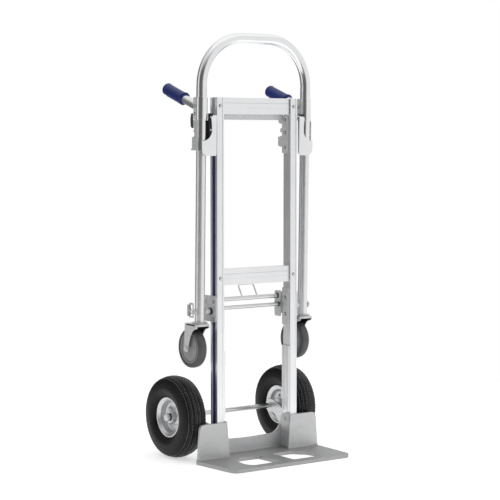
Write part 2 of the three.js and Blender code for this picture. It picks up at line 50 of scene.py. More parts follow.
GROOVE_FRONT, GROOVE_BACK, GROOVE_DEPTH = 10.0, 26.0, 6.0
PIVOT_Y, PIVOT_Z = 29.0, 460.0
LEAN = math.radians(1.05)
TUBE_X, TUBE_R, LEG_R = 198.0, 15.9, 15.1
LOOP_TOP, LOOP_BEND, LOOP_FOOT, LEG_FOOT = 1291.0, 145.0, 951.0, 430.0
WHEEL_X, WHEEL_Y, WHEEL_R = 214.0, 140.0, 127.0
CASTER_Y, CASTER_Z = 66.0, 346.0
GRIP_Z, GRIP_RISE = 1075.0, math.radians(18.0)
GRIP_FROM, GRIP_LENGTH, GRIP_R = 97.0, 106.0, 18.4
CLAMP_LOW, CLAMP_HIGH, CLAMP_HALF = 1042.0, 1110.0, 18.5
CROSSBAR_HEIGHT, MIDDLE_BAR_TOP = 50.0, 588.5
RAIL_SCREW_X, RAIL_SCREW_HEIGHTS = 140.0, (1085.0, 561.0)
SEAT_X = RAIL_INNER - 0.3  # sleeves, latches and crossbars end just clear of the rail
LATCH_THICK = 3.0
ROD_HALF = 112.7
ROD_UP = (48.0, 491.5, 7.0)  # y, z and radius
ROD_LOW = (42.0, 465.5, 6.0)
FLOOR_HALF = 1.7  # metres
EDGE_ANGLE = math.radians(35)  # edges sharper than this are softened

TO_ROW = Matrix.Scale(MM, 4) @ Matrix.Translation((0, FRAME_Y, 0))
PIVOT = Vector((0, PIVOT_Y, PIVOT_Z))
LEAN_TURN = Matrix.Rotation(LEAN, 4, "X")
HANDLE_TO_ROW = TO_ROW @ Matrix.Translation(PIVOT) @ LEAN_TURN @ Matrix.Translation(-PIVOT)


# ---- material nodes ----
def shader_of(material):
    return material.node_tree.nodes["Principled BSDF"]


def new_material(name, base, metallic, roughness):
    material = bpy.data.materials.new(name)
    material.use_nodes = True
    shader = shader_of(material)
    shader.inputs["Base Color"].default_value = (*base, 1)
    shader.inputs["Metallic"].default_value = metallic
    shader.inputs["Roughness"].default_value = roughness
    return material


def noise(material, scale, detail=3.0, stretch=(1, 1, 1)):
    """Noise in object space, scale per metre; stretch makes streaks along the axis with a low value."""
    nodes, links = material.node_tree.nodes, material.node_tree.links
    place = nodes.new("ShaderNodeTexCoord")
    mapping = nodes.new("ShaderNodeMapping")
    mapping.inputs["Scale"].default_value = stretch
    texture = nodes.new("ShaderNodeTexNoise")
    texture.inputs["Scale"].default_value = scale
    texture.inputs["Detail"].default_value = detail
    links.new(place.outputs["Object"], mapping.inputs["Vector"])
    links.new(mapping.outputs["Vector"], texture.inputs["Vector"])
    return texture.outputs["Fac"]


def remap(material, value, low, high, start=0.3, end=0.7):
    nodes, links = material.node_tree.nodes, material.node_tree.links
    node = nodes.new("ShaderNodeMapRange")
    node.inputs["From Min"].default_value = start
    node.inputs["From Max"].default_value = end
    node.inputs["To Min"].default_value = low
    node.inputs["To Max"].default_value = high
    links.new(value, node.inputs["Value"])
    return node.outputs["Result"]


def vary_roughness(material, value, low, high):
    rough = remap(material, value, low, high)
    material.node_tree.links.new(rough, shader_of(material).inputs["Roughness"])


def vary_colour(material, value, low, high):
    nodes, links = material.node_tree.nodes, material.node_tree.links
    mix = nodes.new("ShaderNodeMix")
    mix.data_type = "RGBA"
    mix.inputs["A"].default_value = (*low, 1)
    mix.inputs["B"].default_value = (*high, 1)
    links.new(remap(material, value, 0, 1), mix.inputs["Factor"])
    links.new(mix.outputs["Result"], shader_of(material).inputs["Base Color"])


def add_bump(material, value, strength, distance):
    nodes, links = material.node_tree.nodes, material.node_tree.links
    bump = nodes.new("ShaderNodeBump")
    bump.inputs["Strength"].default_value = strength
    bump.inputs["Distance"].default_value = distance
    links.new(value, bump.inputs["Height"])
    links.new(bump.outputs["Normal"], shader_of(material).inputs["Normal"])


def grey(value):
    return (value, value * 1.005, value * 1.015)


def extruded_metal(name, tone, rough, stretch, relief=0.12, metallic=1.0):
    """Metal with faint draw lines along the axis that has a low value in stretch."""
    material = new_material(name, grey(tone), metallic, rough)
    streaks = noise(material, 900, 4, stretch)
    vary_roughness(material, streaks, rough - 0.05, rough + 0.07)
    cloud = noise(material, 14, 3)
    vary_colour(material, cloud, grey(tone * 0.965), grey(tone * 1.02))
    add_bump(material, streaks, relief, 0.00006)
    return material


def cast_metal():
    """Grainy, mottled aluminium, darker low down on the toe: painted shade on the top of the toe plate."""
    material = new_material("cast_aluminium", grey(0.5), 0.75, 0.5)
    grain = noise(material, 1500, 3)
    nodes, links = material.node_tree.nodes, material.node_tree.links
    place = nodes.new("ShaderNodeTexCoord")
    height = nodes.new("ShaderNodeSeparateXYZ")
    links.new(place.outputs["Object"], height.inputs["Vector"])
    # painted shade: the colour is darker below 11 mm and fully light above 26 mm, so the top of the toe plate
    # reads darker than its uprights
    rise = remap(material, height.outputs["Z"], 0, 1, 0.011, 0.026)
    mottle_and_painted_shade = nodes.new("ShaderNodeMath")
    mottle_and_painted_shade.operation = "MULTIPLY_ADD"
    mottle_and_painted_shade.inputs[1].default_value = 0.25
    links.new(noise(material, 9, 4), mottle_and_painted_shade.inputs[0])
    links.new(rise, mottle_and_painted_shade.inputs[2])
    vary_colour(material, mottle_and_painted_shade.outputs["Value"], grey(0.4), grey(0.6))
    vary_roughness(material, noise(material, 60, 3), 0.44, 0.56)
    add_bump(material, grain, 0.35, 0.00012)
    return material


def plated_metal(name, tone, metallic):
    """Plain metal with a fine grain, for zinc plate, pale aluminium and the wheel steel."""
    material = new_material(name, grey(tone), metallic, 0.36)
    vary_colour(material, noise(material, 130, 4), grey(tone * 0.9), grey(tone * 1.08))
    vary_roughness(material, noise(material, 420, 3), 0.28, 0.44)
    add_bump(material, noise(material, 900, 2), 0.12, 0.00008)
    return material


def rubber(name, low, high, rough, grain, strength, gloss=0.5):
    material = new_material(name, low, 0.0, rough)
    shader_of(material).inputs["Specular IOR Level"].default_value = gloss
    vary_colour(material, noise(material, 45, 4), low, high)
    vary_roughness(material, noise(material, 160, 3), rough - 0.07, rough + 0.07)
    add_bump(material, noise(material, grain, 3), strength, 0.00015)
    return material


SATIN = extruded_metal("satin_aluminium", 0.86, 0.36, (1, 1, 0.02))
SATIN_ACROSS = extruded_metal("satin_aluminium_across", 0.86, 0.36, (0.02, 1, 1))
POLISHED = extruded_metal("polished_aluminium", 0.86, 0.19, (1, 1, 0.015), 0.03)
SATIN_TUBE = extruded_metal("satin_tube", 0.84, 0.3, (1, 1, 0.015), 0.04, 0.8)
CAST = cast_metal()
ZINC = plated_metal("zinc_plate", 0.7, 0.3)
PALE = plated_metal("pale_aluminium", 0.8, 0.2)
RIM = plated_metal("wheel_steel", 0.66, 0.9)
DARK_STEEL = extruded_metal("dark_steel", 0.14, 0.35, (1, 1, 1), 0.05, 0.8)
CHROME = extruded_metal("bright_steel", 0.7, 0.2, (0.03, 1, 1))
STRIP = rubber("slide_strip_plastic", (0.012, 0.016, 0.11), (0.018, 0.024, 0.15), 0.38, 700, 0.1)
GRIP = rubber("grip_rubber", (0.004, 0.02, 0.16), (0.008, 0.03, 0.21), 0.36, 1400, 0.2)
TYRE = rubber("tyre_rubber", (0.003, 0.003, 0.0035), (0.007, 0.007, 0.0075), 0.4, 1100, 0.25, 0.2)
# lighter rubber for the rib edges of the tread: a painted highlight
TYRE_PAINTED_HIGHLIGHT = rubber("tyre_rubber_painted_highlight", (0.16, 0.16, 0.165), (0.24, 0.24, 0.245), 0.35, 1100, 0.2)
CASTER_TYRE = rubber("caster_rubber", (0.075, 0.075, 0.077), (0.095, 0.095, 0.098), 0.5, 1000, 0.2)
CASTER_HUB = rubber("caster_hub_plastic", (0.26, 0.26, 0.265), (0.31, 0.31, 0.315), 0.45, 900, 0.15)
BLACK = rubber("black_plastic", (0.012, 0.012, 0.013), (0.02, 0.02, 0.021), 0.42, 900, 0.2)


# ---- mesh makers; each gives a bmesh in design millimetres ----
def rounded(points, radius=0.0, steps=4):
    """Corners cut by a curve; a point may carry its own radius as third value."""
    path = []
    count = len(points)
    for i, point in enumerate(points):
        corner = Vector(point[:2])
        r = point[2] if len(point) > 2 else radius
        if r <= 0:
            path.append(corner)
            continue
        before = Vector(points[i - 1][:2]) - corner
        after = Vector(points[(i + 1) % count][:2]) - corner
        start = corner + before.normalized() * min(r, before.length * 0.49)
        end = corner + after.normalized() * min(r, after.length * 0.49)
        for k in range(steps + 1):
            t = k / steps
            path.append(start * (1 - t) ** 2 + corner * 2 * t * (1 - t) + end * t * t)
    return path


def circle(u, v, radius):
    angles = [2 * math.pi * k / 20 for k in range(20)]
    return [Vector((u + radius * math.cos(a), v + radius * math.sin(a))) for a in angles]


AXES = {
    "x": Matrix(((0, 0, 1, 0), (1, 0, 0, 0), (0, 1, 0, 0), (0, 0, 0, 1))),
    "y": Matrix(((1, 0, 0, 0), (0, 0, 1, 0), (0, 1, 0, 0), (0, 0, 0, 1))),
    "z": Matrix.Identity(4),
}


def bridge(bm, a, b):
    """Faces between two closed rings with the same number of vertices."""
    count = len(a)
    for k in range(count):
        j = (k + 1) % count
        bm.faces.new((a[k], a[j], b[j], b[k]))


def plate(outlines, axis, low, high, edge=0.5):
    """Plate with softened edges from an outer outline and any holes, thick from low to high along axis."""
    curve = bpy.data.curves.new("plate", "CURVE")
    curve.dimensions = "2D"
    curve.fill_mode = "BOTH"
    curve.extrude = (high - low) / 2 - edge
    curve.bevel_depth = edge
    curve.bevel_resolution = 1
    curve.offset = -edge
    for outline in outlines:
        spline = curve.splines.new("POLY")
        spline.points.add(len(outline) - 1)
        for target, point in zip(spline.points, outline):
            target.co = (point[0], point[1], 0, 1)
        spline.use_cyclic_u = True
    holder = bpy.data.objects.new("plate", curve)
    bpy.context.collection.objects.link(holder)
    mesh = bpy.data.meshes.new_from_object(holder)
    bpy.data.objects.remove(holder)
    bm = bmesh.new()
    bm.from_mesh(mesh)
    bpy.data.meshes.remove(mesh)
    bmesh.ops.remove_doubles(bm, verts=bm.verts, dist=0.01)
    bm.transform(AXES[axis] @ Matrix.Translation((0, 0, (low + high) / 2)))
    return bm


def lathe(profile, segments=48, closed=True):
    """Turned about the X axis from (radius, x) points; closed joins the last point to the first."""
    bm = bmesh.new()
    rings = []
    for radius, x in profile:
        if radius < 1e-6:
            rings.append([bm.verts.new((x, 0, 0))])
            continue
        ring = []
        for k in range(segments):
            angle = 2 * math.pi * k / segments
            ring.append(bm.verts.new((x, radius * math.cos(angle), radius * math.sin(angle))))
        rings.append(ring)
    pairs = list(zip(rings, rings[1:]))
    if closed:
        pairs.append((rings[-1], rings[0]))
    for a, b in pairs:
        for k in range(segments):
            corners = [a[k % len(a)], a[(k + 1) % len(a)], b[(k + 1) % len(b)], b[k % len(b)]]
            unique = list(dict.fromkeys(corners))
            if len(unique) > 2:
                bm.faces.new(unique)
    return bm


def soften(profile, radius, steps=2):
    """A (radius, x) profile with its corners rounded."""
    return [tuple(p) for p in rounded(profile, radius, steps)]


def tube(points, radius, sides=24):
    """Round bar along a path, its section carried along without twist, with flat ends."""
    bm = bmesh.new()
    path = [Vector(p) for p in points]
    tangents = []
    for i in range(len(path)):
        before = path[max(i - 1, 0)]
        after = path[min(i + 1, len(path) - 1)]
        tangents.append((after - before).normalized())
    side = tangents[0].orthogonal().normalized()
    rings = []
    for i, point in enumerate(path):
        side = (side - tangents[i] * side.dot(tangents[i])).normalized()
        other = tangents[i].cross(side)
        ring = []
        for k in range(sides):
            angle = 2 * math.pi * k / sides
            out = side * (radius * math.cos(angle))
            ring.append(bm.verts.new(point + out + other * (radius * math.sin(angle))))
        rings.append(ring)
    for a, b in zip(rings, rings[1:]):
        bridge(bm, a, b)
    bm.faces.new(rings[0])
    bm.faces.new(rings[-1])
    return bm


def extrude_section(section, axis, low, high):
    """Profile extruded along axis, sharp at its ends."""
    bm = bmesh.new()
    near = [bm.verts.new((p[0], p[1], low)) for p in section]
    far = [bm.verts.new((p[0], p[1], high)) for p in section]
    bridge(bm, near, far)
    bm.faces.new(near)
    bm.faces.new(far)
    bm.transform(AXES[axis])
    return bm


def merged(parts):
    """Several bmeshes as one."""
    mesh = bpy.data.meshes.new("merge")
    whole = bmesh.new()
    for part in parts:
        part.to_mesh(mesh)
        whole.from_mesh(mesh)
        part.free()
    bpy.data.meshes.remove(mesh)
    return whole


def moved(bm, x=0.0, y=0.0, z=0.0, turn=None):
    if turn is not None:
        bm.transform(turn)
    bm.transform(Matrix.Translation((x, y, z)))
    return bm


def add_bevel(obj, width):
    """Softened edges of a width in millimetres."""
    soft = obj.modifiers.new("soft_edges", "BEVEL")
    soft.width = width * MM
    soft.segments = 2
    soft.limit_method = "ANGLE"
    soft.angle_limit = EDGE_ANGLE
    soft.harden_normals = True


def add_piece(name, bm, body, material, side=1, lean=False, replaces=(), angle=35, bevel=0.0):
    """Turns a bmesh into a piece on a body, mirrored for the left side and leaned with the handle if asked.

    material may be a pair; the second one is for faces whose material index is 1.
    """
    if side < 0:
        bm.transform(Matrix.Scale(-1, 4, (1, 0, 0)))
    bm.transform(HANDLE_TO_ROW if lean else TO_ROW)
    bmesh.ops.recalc_face_normals(bm, faces=bm.faces)
    mesh = bpy.data.meshes.new(name)
    bm.to_mesh(mesh)
    bm.free()
    mesh.shade_smooth()
    mesh.set_sharp_from_angle(angle=math.radians(angle))
    materials = material if isinstance(material, tuple) else (material,)
    for each in materials:
        mesh.materials.append(each)
    piece = bpy.data.objects.new(name, mesh)
    bpy.context.collection.objects.link(piece)
    if bevel:
        add_bevel(piece, bevel)
    else:
        weighted = piece.modifiers.new("flat_faces", "WEIGHTED_NORMAL")
        weighted.keep_sharp = True
    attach(piece, body)
    if replaces:
        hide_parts(*replaces)
    return piece


def finish_node(node, material, bevel=0.5):
    """A CAD node kept as it is, with its own material and softened edges."""
    obj = NODES[node]
    obj.data.materials.clear()
    obj.data.materials.append(material)
    weld = obj.modifiers.new("weld", "WELD")
    weld.merge_threshold = 0.00002
    add_bevel(obj, bevel)


# ---- small hardware ----
def dome_head(radius, height):
    """Rivet or screw head standing along +X from 0."""
    profile = [(0, 0), (radius, 0), (radius, height * 0.25)]
    for k in range(1, 5):
        angle = math.pi / 2 * k / 5
        profile.append((radius * math.cos(angle), height * (0.25 + 0.75 * math.sin(angle))))
    profile.append((0, height))
    return lathe(profile, 20, closed=False)


def hex_head(radius, height):
    """Hexagon nut or bolt head along +X from 0 with a chamfered crown."""
    profile = [(0, 0), (radius, 0), (radius, height * 0.8), (radius * 0.86, height), (0, height)]
    return lathe(profile, 6, closed=False)


FORWARD = Matrix.Identity(4)
TURN_BACK = Matrix.Rotation(math.pi, 4, "Z")
TURN_FRONT = Matrix.Rotation(-math.pi / 2, 4, "Z")  # +X turned to -Y


def add_rivet(name, x, y, z, radius, body, side, turn=TURN_BACK, lean=False):
    """Bright domed head on a darker washer, standing inward from x unless turned."""
    out = -1 if turn is TURN_BACK else 1
    washer = lathe([(0, 0), (radius, 0), (radius, 0.7), (radius - 0.5, 1.0), (0, 1.0)], 24, closed=False)
    add_piece(f"washer_{name}", moved(washer, x, y, z, turn), body, DARK_STEEL, side, lean)
    head = dome_head(radius * 0.52, 1.7)
    add_piece(f"rivet_{name}", moved(head, x + out * 1.0, y, z, turn), body, PALE, side, lean)


# ---- frame ----
def rail_section(line_x):
    """Right rail seen from above, with a fine line in its front face and the slide groove outside."""
    web = RAIL_OUTER - GROOVE_DEPTH
    return rounded([
        (RAIL_INNER, 0, 1.2), (line_x - 0.7, 0), (line_x, 0.55), (line_x + 0.7, 0), (RAIL_OUTER, 0, 1.2),
        (RAIL_OUTER, GROOVE_FRONT, 0.7), (web, GROOVE_FRONT, 0.4), (web, GROOVE_BACK, 0.4),
        (RAIL_OUTER, GROOVE_BACK, 0.7), (RAIL_OUTER, RAIL_DEPTH, 1.2), (RAIL_INNER, RAIL_DEPTH, 1.2),
    ], 0, 3)


def crossbar_section(top, line_drop, low_line):
    """Section in Y and Z with two fine lines in the front face."""
    front, back, low = 5.0, 33.0, top - CROSSBAR_HEIGHT
    line = top - line_drop
    return rounded([
        (front, low, 1.2), (front, line - low_line - 0.8), (front + 0.7, line - low_line),
        (front, line - low_line + 0.8), (front, line - 1.1), (front + 1.6, line), (front, line + 1.1),
        (front, top, 1.2), (back, top, 1.2), (back, low, 1.2),
    ], 0, 3)


def build_frame():
    for name, side in SIDES:
        line_x = RAIL_INNER + (20.0 if side > 0 else 6.5)
        section = rail_section(line_x)
        rail = extrude_section(section, "z", RAIL_BOTTOM, RAIL_TOP)
        add_piece(f"rail_profile_{name}", rail, "frame", SATIN, side, replaces=[f"rail_{name}"])
        for z in RAIL_SCREW_HEIGHTS:
            ring = lathe([(0, 0), (5.6, 0), (5.6, 0.5), (0, 0.7)], 24, closed=False)
            moved(ring, RAIL_SCREW_X, 0.0, z, TURN_FRONT)
            add_piece(f"rail_screw_ring_{int(z)}_{name}", ring, "frame", DARK_STEEL, side)
            screw = moved(dome_head(4.4, 3.0), RAIL_SCREW_X, -0.5, z, TURN_FRONT)
            add_piece(f"rail_screw_{int(z)}_{name}", screw, "frame", CHROME, side)
        finish_node(f"slide_strip_{name}", STRIP, 0.3)
        finish_node(f"edge_strip_{name}", SATIN, 0.3)
        finish_node(f"axle_bracket_{name}", RIM, 0.8)
        build_sleeve(name, side)
        build_latches(name, side)
    for node, top in (("top_crossbar", RAIL_TOP), ("middle_crossbar", MIDDLE_BAR_TOP)):
        bar = extrude_section(crossbar_section(top, 16.5, 14.0), "x", -SEAT_X, SEAT_X)
        add_piece(f"{node}_profile", bar, "frame", SATIN_ACROSS, replaces=[node])
    finish_node("top_rear_bar", ZINC, 0.6)
    # the toe's cast aluminium carries painted shade low down on its top
    finish_node("toe_plate", CAST, 1.0)
    axle = lathe([(0, -247), (7, -247), (8, -246), (8, 246), (7, 247), (0, 247)], 32, closed=False)
    add_piece("axle_rod", moved(axle, 0, WHEEL_Y, WHEEL_R), "frame", CHROME, replaces=["axle"])


def build_sleeve(name, side):
    """Ribbed profile on the inner face of the rail."""
    x0, x1 = 119.5, SEAT_X
    section = rounded([
        (x1, 1.5, 0.5), (x1, 36, 0.5), (x0 + 2.5, 36, 0.8), (x0, 33, 0.6), (x0, 27, 0.6), (x0 + 2.2, 24, 0.6),
        (x0 + 2.2, 13, 0.6), (x0, 10, 0.6), (x0, 4.5, 0.6), (x0 + 2.5, 1.5, 0.8),
    ], 0, 2)
    add_piece(f"rail_sleeve_profile_{name}", extrude_section(section, "z", 128, 336), "frame", SATIN, side,
              replaces=[f"rail_sleeve_{name}"])


def build_latches(name, side):
    """Riveted plates on the inner faces of the rails, at the top and at the carriage."""
    x0, x1 = SEAT_X - LATCH_THICK, SEAT_X
    upper = rounded([
        (8, 940), (40, 940), (40, 959, 0), (60, 963, 4), (60, 991, 4), (40, 995, 0), (40, 1004, 0),
        (49, 1006, 3), (49, 1017, 3), (40, 1019, 0), (40, 1031, 0), (58, 1035, 4), (58, 1057, 2), (8, 1057),
    ], 5)
    add_piece(f"upper_latch_plate_{name}", plate([upper], "x", x0, x1), "frame", ZINC, side,
              replaces=[f"upper_latch_{name}"])
    for y, z in ((24, 958), (24, 1004), (24, 1044)):
        add_rivet(f"upper_latch_{z}_{name}", x0, y, z, 5.0, "frame", side)
    lower = rounded([(4, 401), (38, 401), (38, 519), (4, 519)], 5)
    add_piece(f"lower_latch_plate_{name}", plate([lower], "x", x0, x1), "frame", ZINC, side,
              replaces=[f"lower_latch_{name}"])
    for y, z in ((22, 435), (22, 487)):
        add_rivet(f"lower_latch_{z}_{name}", x0, y, z, 5.6, "frame", side)


# ---- wheels ----
def crown(x):
    """Radius of the tread at x from the middle of the wheel."""
    return WHEEL_R - 0.0085 * x * x


def tyre_profile():
    """(radius, x, kind) points from bead to bead; kind is rib, groove, edge, knurl or wall."""
    wall = [(62.8, -27), (66, -31), (70, -34.6), (73, -36.2), (74.5, -36.2),
            (76, -37.6), (84, -39.6), (91, -39.8), (99, -38.6), (104, -38.0)]
    shoulder = [(105, -37.7), (111, -36.6), (116.5, -34.3)]
    lip = [(118.2, -32.6), (119.2, -31.4)]
    points = [(*p, "wall") for p in wall] + [(*p, "knurl") for p in shoulder] + [(*p, "edge") for p in lip]
    side_count = len(points)
    ribs = ((-30.6, -22.6), (-19.0, -7.8), (-4.8, 4.8), (7.8, 19.0), (22.6, 30.6))
    for i, (a, b) in enumerate(ribs):
        if i:
            points.append((crown(a) - 3.4, a - 0.6, "groove"))
        points.append((crown(a) - 0.3, a, "edge"))
        points.append((crown(a), a + 1.5, "rib"))
        points.append((crown((a + b) / 2), (a + b) / 2, "rib"))
        points.append((crown(b), b - 1.5, "rib"))
        points.append((crown(b) - 0.3, b, "edge"))
        if i < 4:
            points.append((crown(b) - 3.4, b + 0.6, "groove"))
    points += [(r, -x, kind) for r, x, kind in reversed(points[:side_count])]
    return points


def build_tyre(name, side):
    """Tread cut by zigzag grooves; the edges of the ribs carry a painted highlight, a lighter rubber on every
    second step.
    """
    profile = tyre_profile()
    steps = 288
    bm = bmesh.new()
    rings = []
    for k in range(steps):
        angle = 2 * math.pi * k / steps
        ring = []
        for radius, x, kind in profile:
            r = radius
            if kind == "knurl" and k % 2:
                r -= 1.4
            if kind == "edge" and k % 4 == 0:
                r -= 1.5
            if kind == "rib" and k % 12 == 0:
                r -= 0.5
            if kind in ("groove", "edge"):
                x += 0.9 if k % 4 < 2 else -0.9
            ring.append(bm.verts.new((x, r * math.cos(angle), r * math.sin(angle))))
        rings.append(ring)
    count = len(profile)
    for k in range(steps):
        a, b = rings[k], rings[(k + 1) % steps]
        for i in range(count):
            j = (i + 1) % count
            face = bm.faces.new((a[i], a[j], b[j], b[i]))
            kinds = {profile[i][2], profile[j][2]}
            # faces between an edge and a rib on every second step get the lighter rubber, a painted highlight
            painted_highlight_face = kinds == {"edge", "rib"} and k % 2
            face.material_index = 1 if painted_highlight_face else 0
    moved(bm, WHEEL_X, WHEEL_Y, WHEEL_R)
    add_piece(f"tyre_tread_{name}", bm, f"wheel_{name}", (TYRE, TYRE_PAINTED_HIGHLIGHT), side, replaces=[f"tyre_{name}"],
              angle=40)


def build_rim(name, side):
    """Disc with its bolts, the bearing, the valve stem and the cap on the end of the axle."""
    dish = soften([
        (62.5, 29, 1.2), (58.5, 29.2, 1.5), (53, 25, 2), (49.5, 22, 2), (47.5, 6, 4), (44, 2, 3),
        (28, 1.2, 2), (22, 5, 2), (19, 6, 1), (19, 22, 1.5), (12, 22, 1), (12, 20, 0.5),
        (8.3, 20), (8.3, -30), (19, -30, 1.5), (19, -6, 2), (40, -6, 3), (46, -12, 3),
        (48, -25, 3), (58.5, -29.2, 1.5), (62.5, -29, 1.2), (62.5, -26, 0.8),
        (52, -23, 2), (50.5, 0, 4), (52, 23, 2), (62.5, 26, 0.8),
    ], 0.5, 3)
    parts = [lathe(dish, 72)]
    for k in range(4):
        angle = math.radians(45 + 90 * k)
        y, z = 33 * math.cos(angle), 33 * math.sin(angle)
        parts.append(moved(hex_head(5.6, 5), 1.0, y, z))
        tip = lathe([(0, 0), (3, 0), (3, 4), (2.2, 4.8), (0, 4.8)], 12, closed=False)
        parts.append(moved(tip, 5.8, y, z))
        parts.append(moved(hex_head(5.6, 4.5), -5.8, y, z, TURN_BACK))
    rim = moved(merged(parts), WHEEL_X, WHEEL_Y, WHEEL_R)
    add_piece(f"rim_disc_{name}", rim, f"wheel_{name}", RIM, side, replaces=[f"rim_{name}"], angle=40)
    hub = soften([(8.3, 20.2), (11.8, 20.2), (11.8, 22.6, 0.6), (9.5, 23.4, 0.5), (8.3, 23.4)], 0.3, 2)
    ring = moved(lathe(hub, 36), WHEEL_X, WHEEL_Y, WHEEL_R)
    add_piece(f"hub_bearing_{name}", ring, f"wheel_{name}", BLACK, side)
    stem = tube([(24, 0, 0), (33, 0, 0)], 2.6, 14)
    angle = math.radians(115)
    stem = moved(stem, WHEEL_X - 22, WHEEL_Y + 43 * math.cos(angle), WHEEL_R + 43 * math.sin(angle))
    add_piece(f"valve_stem_{name}", stem, f"wheel_{name}", BLACK, side, bevel=0.5)
    cap = soften([(0, 37.5), (9, 37.5, 2), (12.5, 34.5, 1), (12.5, 26.5, 0.8), (8.4, 26.5), (8.4, 33.3),
                  (0, 33.3)], 0.3, 2)
    cap_piece = moved(lathe(cap, 36, closed=False), WHEEL_X, WHEEL_Y, WHEEL_R)
    add_piece(f"axle_end_cap_{name}", cap_piece, "frame", ZINC, side, replaces=[f"axle_cap_{name}"])


# ---- carriage ----
def build_carriage(name, side):
    """Bracket with its bearing blocks, and the washer and stud on which the handle tilts."""
    x0 = RAIL_OUTER + 0.7
    x1 = x0 + 3
    cheek = plate([
        rounded([(0.5, 428), (64, 428), (64, 508), (0.5, 508)], 7),
        rounded([(48, 451), (59, 451), (59, 466), (48, 466)], 3),
        rounded([(50, 481), (57, 481), (57, 497), (50, 497)], 3.4),
    ], "x", x0, x1)
    web = plate([rounded([(113, 434), (x0 + 1, 434), (x0 + 1, 502), (113, 502)], 1)], "y", 61, 64, 0.4)
    blocks = []
    for low, high in ((473, 508), (427, 458)):
        blocks.append(plate([rounded([(40, low), (62, low), (62, high), (40, high)], 3)], "x", 113, 122, 0.6))
    whole = merged([cheek, web] + blocks)
    for z in (436, 489):
        add_rivet(f"carriage_{z}_{name}", x1, 16, z, 5.4, "carriage", side, FORWARD)
    add_piece(f"carriage_bracket_plate_{name}", whole, "carriage", ZINC, side,
              replaces=[f"carriage_bracket_{name}"])
    washer = soften([(5.5, 157.3), (10.5, 157.3, 0.8), (10.5, 163, 0.8), (5.5, 163)], 0.3, 2)
    add_piece(f"pivot_collar_{name}", moved(lathe(washer, 36), 0, PIVOT_Y, PIVOT_Z), "carriage", BLACK, side,
              replaces=[f"pivot_washer_{name}"])
    stud = lathe([(0, 157.4), (5, 157.4), (5, 163.4), (7.4, 163.4), (8, 164), (8, 180.4),
                  (7.4, 181), (5, 181), (5, 217.4), (0, 217.4)], 32, closed=False)
    nut = moved(hex_head(9, 4.6), 217.3, 0, 0)
    tip = lathe([(0, 0), (4.4, 0), (4.4, 1.2), (3.6, 1.9), (0, 1.9)], 20, closed=False)
    bolt = moved(merged([stud, nut, moved(tip, 219.9)]), 0, PIVOT_Y, PIVOT_Z)
    add_piece(f"pivot_stud_{name}", bolt, "carriage", ZINC, side, replaces=[f"pivot_bolt_{name}"])


def rod(half, y, z, radius):
    """Bar along X with chamfered ends."""
    profile = [(0, -half), (radius - 0.8, -half), (radius, -half + 0.8),
               (radius, half - 0.8), (radius - 0.8, half), (0, half)]
    return moved(lathe(profile, 32, closed=False), 0, y, z)


def bent(points, radius):
    """A 3-D path with its corners rounded."""
    path = [Vector(points[0])]
    for before, corner, after in zip(points, points[1:], points[2:]):
        corner = Vector(corner)
        start = corner + (Vector(before) - corner).normalized() * radius
        end = corner + (Vector(after) - corner).normalized() * radius
        for k in range(7):
            t = k / 6
            path.append(start * (1 - t) ** 2 + corner * 2 * t * (1 - t) + end * t * t)
    path.append(Vector(points[-1]))
    return path


def build_release():
    """The two cross rods with their collars, and the wire pull on the upper one."""
    y, z, radius = ROD_UP
    add_piece("release_rod", rod(ROD_HALF, y, z, radius), "release", CHROME, replaces=["release_bar"])
    top_y, top_z = y + radius - 1 + 24, z + 40
    wire = tube(bent([(-19, y + 6, z), (-19, top_y, top_z), (39, top_y, top_z), (39, y + 6, z)], 8), 2.3, 14)
    add_piece("release_wire", wire, "release", CHROME)
    y, z, radius = ROD_LOW
    add_piece("lower_cross_rod", rod(ROD_HALF, y, z, radius), "carriage", CHROME, replaces=["lower_rod"])
    for name, side in SIDES:
        for tag, (cy, cz, r), body in (("upper", ROD_UP, "release"), ("lower", ROD_LOW, "carriage")):
            collar = soften([(r, 108.6), (r + 1.6, 108.6, 0.5), (r + 1.6, 112.4, 0.5), (r, 112.4)], 0.3, 2)
            piece = moved(lathe(collar, 32), 0, cy, cz)
            add_piece(f"rod_collar_{tag}_{name}", piece, body, BLACK, side)


# ---- handle ----
def loop_points():
    """Middle line of the loop, from the foot on the left over the top to the foot on the right."""
    flat = TUBE_X - LOOP_BEND
    centre = LOOP_TOP - LOOP_BEND
    points = [Vector((-TUBE_X, PIVOT_Y, LOOP_FOOT)), Vector((-TUBE_X, PIVOT_Y, 1050))]
    for middle, first in ((-flat, math.pi), (flat, math.pi / 2)):
        for k in range(25):
            angle = first - math.pi / 2 * k / 24
            x = middle + LOOP_BEND * math.cos(angle)
            points.append(Vector((x, PIVOT_Y, centre + LOOP_BEND * math.sin(angle))))
    points += [Vector((TUBE_X, PIVOT_Y, 1050)), Vector((TUBE_X, PIVOT_Y, LOOP_FOOT))]
    return points


def build_loop():
    add_piece("handle_tube_loop", tube(loop_points(), TUBE_R, 48), "handle", POLISHED, lean=True,
              replaces=["handle_loop"])


def half_circle(radius, start):
    """Points on a circle through half a turn from the angle start."""
    angles = [start + math.pi * k / 24 for k in range(25)]
    return [Vector((radius * math.cos(a), radius * math.sin(a))) for a in angles]


